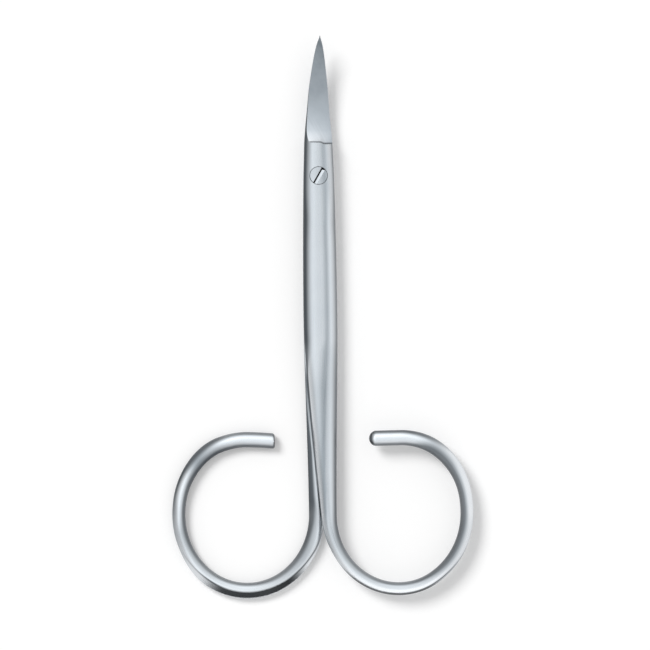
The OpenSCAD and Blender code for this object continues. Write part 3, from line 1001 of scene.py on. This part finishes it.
def new_group(name, inputs, outputs):
    """A node group with its sockets: name, kind and default of each input, name and kind of each output."""
    tree = bpy.data.node_groups.new(name, "ShaderNodeTree")
    for label, kind, value in inputs:
        socket = tree.interface.new_socket(label, in_out="INPUT", socket_type="NodeSocket" + kind)
        if value is not None:
            socket.default_value = value
    for label, kind in outputs:
        tree.interface.new_socket(label, in_out="OUTPUT", socket_type="NodeSocket" + kind)
    return tree, tree.nodes.new("NodeGroupInput").outputs, tree.nodes.new("NodeGroupOutput").inputs


def place(tree, group, **values):
    """The group in a material, its inputs given by name, with _ for a space."""
    node = add(tree, "ShaderNodeGroup", node_tree=group)
    for label, value in values.items():
        socket = node.inputs[label.replace("_", " ").capitalize()]
        if isinstance(value, bpy.types.NodeSocket):
            tree.links.new(value, socket)
        else:
            socket.default_value = value
    return node.outputs


# %% [markdown]
# ## The brush's lines
#
# A fine belt leaves thousands of hair lines, all along the wire. A noise that is stretched a hundredfold
# along the forging gives such lines, and two sizes of it together keep the eye from seeing a pattern. The
# vector that comes in is the UV map's, in millimetres, so that the lines follow the rings.

# %% Group: brushed lines
line_layers = ((1.0, 3.7), (4.5, 11.3))     # the widths of the two layers of lines, and their seeds


def make_brushed_lines():
    """Two stretched noises, added: the length and width of their lines in the units of the vector."""
    tree, given, result = new_group("brushed lines", [
        ("Vector", "Vector", None), ("Length", "Float", 6.0), ("Width", "Float", 0.04),
        ("Coarse share", "Float", 0.4)], [("Lines", "Float")])
    parts = parts_of(tree, given["Vector"])
    layers = []
    for times, seed in line_layers:
        u = math_node(tree, "DIVIDE", parts[0], given["Length"])
        v = math_node(tree, "DIVIDE", parts[1], math_node(tree, "MULTIPLY", given["Width"], times))
        layers.append(noise(tree, add(tree, "ShaderNodeCombineXYZ", {0: u, 1: v, 2: seed}).outputs[0]))
    tree.links.new(between(tree, given["Coarse share"], *layers), result["Lines"])
    return tree


brushed_lines = make_brushed_lines()

# %% [markdown]
# ## Clouds and pits
#
# No steel is the same all over: polishing paste leaves cloudy patches a few millimetres wide, and the
# tumbling drum leaves tiny dents. Both are plain noises in the piece's own coordinates.

# %% Group: clouds and pits
pit_level, pit_gain = 0.8, 6.0


def make_clouds():
    """A soft noise for the clouds, and for the pits a fine one of which only the highest peaks are left."""
    tree, given, result = new_group("clouds and pits", [
        ("Vector", "Vector", None), ("Cloud size", "Float", 4.0), ("Pit size", "Float", 0.07),
        ("Pit share", "Float", 0.3)], [("Clouds", "Float"), ("Pits", "Float")])
    at = vector_node(tree, "MULTIPLY", given["Vector"], (1 / MM,) * 3)
    clouds = noise(tree, at, math_node(tree, "DIVIDE", 1.0, given["Cloud size"]), 3.0)
    dents = noise(tree, at, math_node(tree, "DIVIDE", 1.0, given["Pit size"]), 1.0)
    edge = math_node(tree, "SUBTRACT", pit_level, math_node(tree, "MULTIPLY", given["Pit share"], 0.5))
    dents = math_node(tree, "SUBTRACT", dents, edge, clamp=True)
    pits = math_node(tree, "MULTIPLY", dents, pit_gain, clamp=True)
    tree.links.new(clouds, result["Clouds"])
    tree.links.new(pits, result["Pits"])
    return tree


clouds_and_pits = make_clouds()

# %% [markdown]
# ## Worn edges
#
# Use rubs the edges first, and rubbed steel is brighter and smoother. The Bevel node gives the normal that
# an edge would have if it were rounded, and where that differs from the true normal there is an edge.

# %% Group: worn edges
edge_r = 0.06


def make_worn_edges():
    """One minus the cosine between the true and the rounded normal, spread out to a mask."""
    tree, given, result = new_group("worn edges", [
        ("Gain", "Float", 6.0)], [("Edge", "Float"), ("Normal", "Vector")])
    round_normal = add(tree, "ShaderNodeBevel", {"Radius": edge_r * MM}, samples=4).outputs[0]
    true_normal = add(tree, "ShaderNodeNewGeometry").outputs["Normal"]
    cosine = vector_node(tree, "DOT_PRODUCT", round_normal, true_normal)
    edge = math_node(tree, "MULTIPLY", math_node(tree, "SUBTRACT", 1.0, cosine), given["Gain"], clamp=True)
    tree.links.new(edge, result["Edge"])
    tree.links.new(round_normal, result["Normal"])
    return tree


worn_edges = make_worn_edges()

# %% [markdown]
# ## Turned rings
#
# A face that was turned on a lathe, or ground by a spinning stone, has fine rings about its axis. The
# distance from the pivot, in the piece's own coordinates, is all that the pattern needs.

# %% Group: turned rings
ring_seed = {1: 0.37, 2: 5.1}


def make_turned_rings():
    """A noise of the distance from the Z axis, with a mask that fades between two radii."""
    tree, given, result = new_group("turned rings", [
        ("Vector", "Vector", None), ("Ring width", "Float", 0.05), ("Fade from", "Float", 1.6),
        ("Fade to", "Float", 3.0)], [("Rings", "Float"), ("Mask", "Float")])
    squares = [math_node(tree, "MULTIPLY", part, part) for part in parts_of(tree, given["Vector"])[:2]]
    radius = math_node(tree, "DIVIDE", math_node(tree, "SQRT", math_node(tree, "ADD", *squares)), MM)
    turns = math_node(tree, "DIVIDE", radius, given["Ring width"])
    rings = noise(tree, add(tree, "ShaderNodeCombineXYZ", {0: turns, **ring_seed}).outputs[0])
    mask = spread(tree, radius, given["Fade from"], given["Fade to"], 1.0, 0.0, smooth=True)
    tree.links.new(rings, result["Rings"])
    tree.links.new(mask, result["Mask"])
    return tree


turned_rings = make_turned_rings()
print("node groups:", [tree.name for tree in bpy.data.node_groups])

# %% [markdown]
# ## Satin steel
#
# The forgings are brushed along their length. The brushed faces are light and a little bluish, and a duller
# tone paints shade and light along them. The tumbled skin on the sides is darker and duller and carries
# painted shade, and the painted black shade is the smoothest of all. The belt's lines show as a slight change
# of roughness and height, hardly of colour. What all the steels share comes first.

# %% What every steel has
worn_tone = (0.8, 0.82, 0.84, 1)
worn_share, worn_gloss = 0.5, 0.08
bump_depth = 0.01
noise_span, crisp_span = (0.3, 0.7), (0.35, 0.65)   # what a noise mostly keeps to, and a crisper choice


def start_steel(name):
    """A metal with its tree, its shader and its place in space."""
    material = bpy.data.materials.new(name)
    material.use_nodes = True
    tree = material.node_tree
    shader = tree.nodes["Principled BSDF"]
    shader.inputs["Metallic"].default_value = 1
    return material, tree, shader, add(tree, "ShaderNodeTexCoord").outputs["Object"]


def finish_parts(tree):
    """Red, green and blue of the finish map on the mesh, which carry painted light and shade."""
    paint = add(tree, "ShaderNodeAttribute", attribute_name="finish_and_shade").outputs["Color"]
    return add(tree, "ShaderNodeSeparateColor", {0: paint}).outputs


def finish_steel(tree, shader, color, roughness, height, bump=0.1):
    """Connects what the groups gave to the shader: worn edges are brighter and smoother, and the height goes
    through a bump."""
    edges = place(tree, worn_edges)
    color = blended(tree, math_node(tree, "MULTIPLY", edges["Edge"], worn_share), color, worn_tone)
    roughness = math_node(tree, "SUBTRACT", roughness, math_node(tree, "MULTIPLY", edges["Edge"], worn_gloss))
    inputs = {"Height": height, "Strength": bump, "Distance": bump_depth * MM, "Normal": edges["Normal"]}
    tree.links.new(color, shader.inputs["Base Color"])
    tree.links.new(roughness, shader.inputs["Roughness"])
    tree.links.new(add(tree, "ShaderNodeBump", inputs).outputs[0], shader.inputs["Normal"])


# %% Satin steel
satin_rough, skin_rough, black_rough = (0.23, 0.33), 0.42, 0.2
satin_low, satin_high = (0.7, 0.73, 0.76, 1), (0.78, 0.8, 0.82, 1)
# The dull, skin and black tones below are the colours that the finish map paints shade with.
dull_and_shade_tone, line_tone = (0.12, 0.145, 0.165, 1), (0.5, 0.54, 0.58, 1)
skin_and_shade_tone, black_shade_tone = (0.08, 0.09, 0.1, 1), (0.045, 0.05, 0.055, 1)
line_share, black_shade_share = 0.18, 0.95
stretch, stretch_turn = 0.5, 0.25   # reflections spread across the belt's lines: how much, and a quarter turn


def make_satin():
    """Brushed steel with the tumbled skin and the painted light and shade of the finish map on the mesh."""
    material, tree, shader, where = start_steel("satin steel")
    unrolled = add(tree, "ShaderNodeUVMap", uv_map="along_around").outputs[0]
    unrolled = vector_node(tree, "MULTIPLY", unrolled, (uv_span,) * 3)
    lines = place(tree, brushed_lines, vector=unrolled)["Lines"]
    clouds = place(tree, clouds_and_pits, vector=where)
    rings = place(tree, turned_rings, vector=where)
    # Red: tumbled skin and painted shade; green: painted black shade; blue: painted dullness of light and
    # shade.
    skin_and_shade, black_shade, dull_and_shade = finish_parts(tree)
    light = blended(tree, clouds["Clouds"], satin_low, satin_high)
    light = blended(tree, dull_and_shade, light, dull_and_shade_tone)
    light = blended(tree, spread(tree, lines, *crisp_span, 0.0, line_share), light, line_tone)
    painted_dark = blended(tree, clouds["Pits"], skin_and_shade_tone, black_shade_tone)
    color = blended(tree, skin_and_shade, light, painted_dark)
    color = blended(tree, math_node(tree, "MULTIPLY", black_shade, black_shade_share), color, black_shade_tone)
    rough = spread(tree, lines, *noise_span, *satin_rough)
    rough = between(tree, black_shade, between(tree, skin_and_shade, rough, skin_rough), black_rough)
    height = between(tree, rings["Mask"], lines, rings["Rings"])
    height = math_node(tree, "SUBTRACT", height, math_node(tree, "MULTIPLY", clouds["Pits"], skin_and_shade))
    finish_steel(tree, shader, color, rough, height)
    tangent = add(tree, "ShaderNodeTangent", direction_type="UV_MAP", uv_map="along_around").outputs[0]
    tree.links.new(tangent, shader.inputs["Tangent"])
    shader.inputs["Anisotropic"].default_value = stretch
    shader.inputs["Anisotropic Rotation"].default_value = stretch_turn
    return material


satin_steel = make_satin()

# %% [markdown]
# ## The ground blades and the drilled joint
#
# The wheel leaves the blades with finer, slanting lines. The ground face is painted bright at the root and in
# deepening shade towards the tip. Inside the bores and the slot nobody polishes: they are dull and dark, with
# the drill's rings.

# %% Ground steel
# Painted light and shade along the blade: near white at the root, dark towards the tip.
blade_shade_from, blade_shade_to = joint_front_l + 0.3, joint_front_l + blade_l
grind_slant = math.radians(28)
blade_light_and_shade = [
    (0, (0.97, 0.98, 1, 1)),
    (0.1, (0.56, 0.59, 0.62, 1)),
    (0.2, (0.42, 0.45, 0.48, 1)),
    (0.38, (0.305, 0.33, 0.355, 1)),
    (1, (0.133, 0.153, 0.17, 1)),
]
scratch_and_shade_tone, haze_tone, step_shadow_tone = (0.3, 0.33, 0.36, 1), (0.62, 0.65, 0.68, 1), (0.1, 0.11, 0.12, 1)
scratch_share, haze_share, ground_rough, ground_bump = 0.35, 0.15, (0.28, 0.4), 0.12
# Painted shade on the right of the blade near its root, in the scratch tone.
shade_from, shade_to, shade_end, shade_share = -1.2, 2.4, 0.4, 0.9


def make_ground():
    """Slanting lines in the piece's own coordinates, over painted light and shade that deepen towards the
    tip.
    Near the root the right side is painted darker with shade, and the step is a painted shadow line."""
    material, tree, shader, where = start_steel("ground steel")
    slanted = add(tree, "ShaderNodeMapping", {"Vector": where, "Rotation": (0, 0, -grind_slant),
                                              "Scale": (1 / MM,) * 3}).outputs[0]
    parts = parts_of(tree, slanted)
    swapped = add(tree, "ShaderNodeCombineXYZ", {0: parts[1], 1: parts[0], 2: parts[2]}).outputs[0]
    lines = place(tree, brushed_lines, vector=swapped, length=5.0, width=0.035, coarse_share=0.5)["Lines"]
    clouds = place(tree, clouds_and_pits, vector=where, cloud_size=2.5)["Clouds"]
    x, y = parts_of(tree, where)[:2]
    tone = spread(tree, y, blade_shade_from * MM, blade_shade_to * MM, 0.0, 1.0)
    colors = add(tree, "ShaderNodeValToRGB", {0: tone})
    elements = colors.color_ramp.elements
    elements[0].color, elements[1].color = blade_light_and_shade[0][1], blade_light_and_shade[-1][1]
    for at, tone_there in blade_light_and_shade[1:-1]:
        elements.new(at).color = tone_there
    scratches = spread(tree, lines, *noise_span, 0.0, scratch_share)
    haze = spread(tree, clouds, *noise_span, 0.0, haze_share)
    # Painted shade: the right side near the root.
    right = spread(tree, x, shade_from * MM, shade_to * MM, 0.0, 1.0)
    root = spread(tree, tone, 0.0, shade_end, 1.0, 0.0)
    shade = math_node(tree, "MULTIPLY", math_node(tree, "MULTIPLY", root, right), shade_share)
    color = colors.outputs[0]
    # Red on a ground face is the step's painted shadow.
    step_shadow = finish_parts(tree)[0]
    layers = [(scratches, scratch_and_shade_tone), (haze, haze_tone), (shade, scratch_and_shade_tone), (step_shadow, step_shadow_tone)]
    for amount, tone_of in layers:
        color = blended(tree, amount, color, tone_of)
    rough = spread(tree, lines, *noise_span, *ground_rough)
    finish_steel(tree, shader, color, rough, lines, bump=ground_bump)
    return material


# %% Bored steel
bored_tone, bored_pit_tone = (0.26, 0.27, 0.28, 1), (0.14, 0.145, 0.15, 1)
# The painted black shade in the slot's groove and nick.
slot_shade_tone, bored_rough = (0.012, 0.012, 0.013, 1), (0.4, 0.55)


def make_bored():
    """Dull steel with the drill's rings, painted black as shade where the finish map's red says so."""
    material, tree, shader, where = start_steel("bored steel")
    rings = place(tree, turned_rings, vector=where, ring_width=0.04)["Rings"]
    pits = place(tree, clouds_and_pits, vector=where, pit_size=0.05, pit_share=0.5)["Pits"]
    color = blended(tree, pits, bored_tone, bored_pit_tone)
    color = blended(tree, finish_parts(tree)[0], color, slot_shade_tone)
    finish_steel(tree, shader, color, spread(tree, rings, *noise_span, *bored_rough), rings)
    return material


# %% Steels to faces
steels = {SATIN: satin_steel, GROUND: make_ground(), BORED: make_bored()}
for piece in (upper_steel, lower_steel, screw_steel):
    while len(piece.data.materials) < len(steels):
        piece.data.materials.append(None)
    for index, steel in steels.items():
        piece.data.materials[index] = steel
    print(piece.name, "wears", [steel.name for steel in piece.data.materials])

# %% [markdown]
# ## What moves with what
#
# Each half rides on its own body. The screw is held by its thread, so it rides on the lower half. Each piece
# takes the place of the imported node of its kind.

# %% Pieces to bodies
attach(upper_steel, "upper_half")
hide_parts("upper_half")
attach(lower_steel, "lower_half")
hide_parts("lower_half")
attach(screw_steel, "lower_half")
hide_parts("pivot_screw")

# %% [markdown]
# ## The table and the key light
#
# The scissors lie on a plain white table. A soft sun from the upper left throws the short shadow, and an even
# white sky fills it. The table's white is its own colour under a plain level of light, and for rays from the
# camera or a reflection it glows a little, as the overexposed table of a catalogue picture does. That lifts
# the shadow without putting any more light on the scissors. Seen from below, the table is clear.

# %% Table, sky and sun
scene = bpy.context.scene
scene.view_settings.view_transform = "Standard"

table_hw = 3
table_white = 0.92
table_glow = 0.1
fill_light = 0.6
sun_light = 1.8
sun_soft = math.radians(26)
sun_from = Vector((-1, 1, 1.45))


def seen_ray(tree):
    """1 for a ray from the camera, a reflection or glass, 0 for a ray that only gathers light."""
    ray = add(tree, "ShaderNodeLightPath").outputs
    shows = math_node(tree, "MAXIMUM", ray["Is Glossy Ray"], ray["Is Transmission Ray"])
    return math_node(tree, "MAXIMUM", ray["Is Camera Ray"], shows)


floor_mesh = bpy.data.meshes.new("table")
floor_corners = [(table_hw * x, table_hw * y, 0) for x, y in ((-1, -1), (1, -1), (1, 1), (-1, 1))]
floor_mesh.from_pydata(floor_corners, [], [(0, 1, 2, 3)])
floor = placed("table", floor_mesh)
floor_material = bpy.data.materials.new("table")
floor_material.use_nodes = True
floor_tree = floor_material.node_tree
floor_shader = floor_tree.nodes["Principled BSDF"]
plain_white = {"Base Color": (table_white, table_white, table_white, 1), "Specular IOR Level": 0,
               "Roughness": 1, "Emission Color": (1, 1, 1, 1)}
for label, value in plain_white.items():
    floor_shader.inputs[label].default_value = value
glow = math_node(floor_tree, "MULTIPLY", seen_ray(floor_tree), table_glow)
floor_tree.links.new(glow, floor_shader.inputs["Emission Strength"])
seen_from_below = add(floor_tree, "ShaderNodeNewGeometry").outputs["Backfacing"]
clear = add(floor_tree, "ShaderNodeBsdfTransparent").outputs[0]
either = add(floor_tree, "ShaderNodeMixShader", {0: seen_from_below, 1: floor_shader.outputs[0], 2: clear})
floor_tree.links.new(either.outputs[0], floor_tree.nodes["Material Output"].inputs[0])
floor_mesh.materials.append(floor_material)

world = bpy.data.worlds.new("studio")
scene.world = world
world.use_nodes = True
sky = world.node_tree.nodes["Background"]
sky.inputs["Color"].default_value = (1, 1, 1, 1)
sky_level = spread(world.node_tree, seen_ray(world.node_tree), 0.0, 1.0, fill_light, 1.0)
world.node_tree.links.new(sky_level, sky.inputs["Strength"])

sun_data = bpy.data.lights.new("sun", "SUN")
sun_data.energy = sun_light
sun_data.angle = sun_soft
sun = bpy.data.objects.new("sun", sun_data)
sun.rotation_euler = sun_from.to_track_quat("Z", "Y").to_euler()
sun.visible_glossy = False
scene.collection.objects.link(sun)
print("sun from", [round(part, 2) for part in sun_from.normalized()], "fill", fill_light)

# %% [markdown]
# ## The light tent
#
# Polished steel has hardly a look of its own: it shows the room. A photographer therefore puts small shiny
# things into a tent of white cloth, with soft boxes and black cards around it, and that is what gives a wire
# its light crest and dark edges. The tent here is a dome that only the reflections see. Its glow is a plain
# level, brighter where a soft box stands behind the cloth and darker near the table.

# %% Group: soft box
def make_soft_box():
    """A rounded rectangle on the dome. The direction's parts along and across the box are divided by its
    half sizes, and the glow falls off where the fourth powers of the two add up to one."""
    tree, given, result = new_group("soft box", [
        ("Direction", "Vector", None), ("Middle", "Vector", (0, 0, 1)), ("Wide axis", "Vector", (1, 0, 0)),
        ("Half width", "Float", 0.3), ("Half height", "Float", 0.3), ("Softness", "Float", 0.3)],
        [("Glow", "Float")])
    tall = vector_node(tree, "CROSS_PRODUCT", given["Middle"], given["Wide axis"])
    powers = []
    for axis, size in ((given["Wide axis"], "Half width"), (tall, "Half height")):
        part = vector_node(tree, "DOT_PRODUCT", given["Direction"], axis)
        part = math_node(tree, "ABSOLUTE", math_node(tree, "DIVIDE", part, given[size]))
        powers.append(math_node(tree, "POWER", part, 4.0))
    reach = math_node(tree, "POWER", math_node(tree, "ADD", *powers), 0.25)
    inside = math_node(tree, "SUBTRACT", 1.0, given["Softness"])
    outside = math_node(tree, "ADD", 1.0, given["Softness"])
    glow = spread(tree, reach, inside, outside, 1.0, 0.0, smooth=True)
    front = vector_node(tree, "DOT_PRODUCT", given["Direction"], given["Middle"])
    ahead = math_node(tree, "GREATER_THAN", front, 0.0)
    tree.links.new(math_node(tree, "MULTIPLY", glow, ahead), result["Glow"])
    return tree


soft_box = make_soft_box()

# %% Tent
tent_r = 0.4
tent_rows, tent_columns = 40, 80
tent_top, tent_foot = 0.01, np.pi / 2 + 0.02
low_level, top_level, level_rise = 0.3, 1.02, (0.1, 0.9)
cloth_white = (0.97, 1, 1.02, 1)
boxes = [
    # middle of the box, its wide axis, half width, half height, softness, glow
    ((-0.34, -0.05, 0.94), (0.94, 0, 0.34), 0.22, 0.6, 0.5, 0.36),
    ((0.643, 0, 0.766), (0.766, 0, -0.643), 0.27, 0.5, 0.5, 0.38),
    ((0, 0.6, 0.8), (1, 0, 0), 0.34, 0.42, 0.4, 0.55),
]
black_boxes = [
    ((-0.6, 0.6, 0.53), (0.707, 0.707, 0), 0.3, 0.4, 0.5, 0.3),
]


def make_tent():
    """A dome of points: the angle from the top down to the table, and the angle round."""
    down = np.linspace(tent_top, tent_foot, tent_rows)[:, None]
    turn = np.linspace(0, 2 * np.pi, tent_columns, endpoint=False)
    points = [np.sin(down) * np.cos(turn), np.sin(down) * np.sin(turn), np.cos(down) + 0 * turn]
    points = tent_r * np.stack(points, axis=2)
    flat_map = np.zeros((tent_rows, tent_columns + 1))
    return placed("tent", closed_mesh("tent", points, flat_map[:, 0], flat_map))


def glowing(name, color):
    """A material that only gives light, with its tree and the socket for its strength."""
    material = bpy.data.materials.new(name)
    material.use_nodes = True
    material.cycles.emission_sampling = "NONE"
    tree = material.node_tree
    tree.nodes.remove(tree.nodes["Principled BSDF"])
    light = add(tree, "ShaderNodeEmission", {"Color": color})
    tree.links.new(light.outputs[0], tree.nodes["Material Output"].inputs[0])
    return material, tree, light.inputs["Strength"]


def make_glow():
    """The tent's light: a level that rises from the table to the top, with soft boxes added and black ones
    taken off."""
    material, tree, strength = glowing("tent", cloth_white)
    where = add(tree, "ShaderNodeTexCoord").outputs["Object"]
    direction = vector_node(tree, "NORMALIZE", where)
    level = spread(tree, parts_of(tree, direction)[2], *level_rise, low_level, top_level, smooth=True)
    for sign, group in (("ADD", boxes), ("SUBTRACT", black_boxes)):
        for middle, wide_axis, half_width, half_height, softness, glow in group:
            box = place(tree, soft_box, direction=direction, middle=middle, wide_axis=wide_axis,
                        half_width=half_width, half_height=half_height, softness=softness)["Glow"]
            level = math_node(tree, sign, level, math_node(tree, "MULTIPLY", box, glow))
    tree.links.new(level, strength)
    return material


def only_reflected(thing):
    """A thing of the studio that nothing but a reflection sees, and that throws no shadow."""
    thing.visible_camera = False
    thing.visible_diffuse = False
    thing.visible_transmission = False
    thing.visible_shadow = False


tent = make_tent()
tent.data.materials.append(make_glow())
only_reflected(tent)

# %% [markdown]
# Four cards stand close to the scissors, where the dome is too far away to tell the rings from the blades:
# a bright one in front of the rings above a low black one, and a bright one on either side.

# %% Cards near the scissors
cards = [
    # name, where it starts and ends in plan, its lower and upper edge, all in millimetres, and its glow
    ("front_card", (-160, -122), (120, -122), 14, 112, 1.45),
    ("low_card", (-60, -121), (34, -121), 0, 14, 0.02),
    ("right_card", (58, -122), (58, 40), 0, 60, 1.1),
    ("left_card", (-58, 40), (-58, -122), 0, 60, 0.9),
]


def card(name, start, end, low, high, glow):
    """An upright card with an even glow."""
    corners = [(*start, low), (*end, low), (*end, high), (*start, high)]
    mesh = bpy.data.meshes.new(name)
    mesh.from_pydata([tuple(c * MM for c in corner) for corner in corners], [], [(0, 1, 2, 3)])
    material, tree, strength = glowing(name, (1, 1, 1, 1))
    strength.default_value = glow
    mesh.materials.append(material)
    only_reflected(placed(name, mesh))


for settings in cards:
    card(*settings)
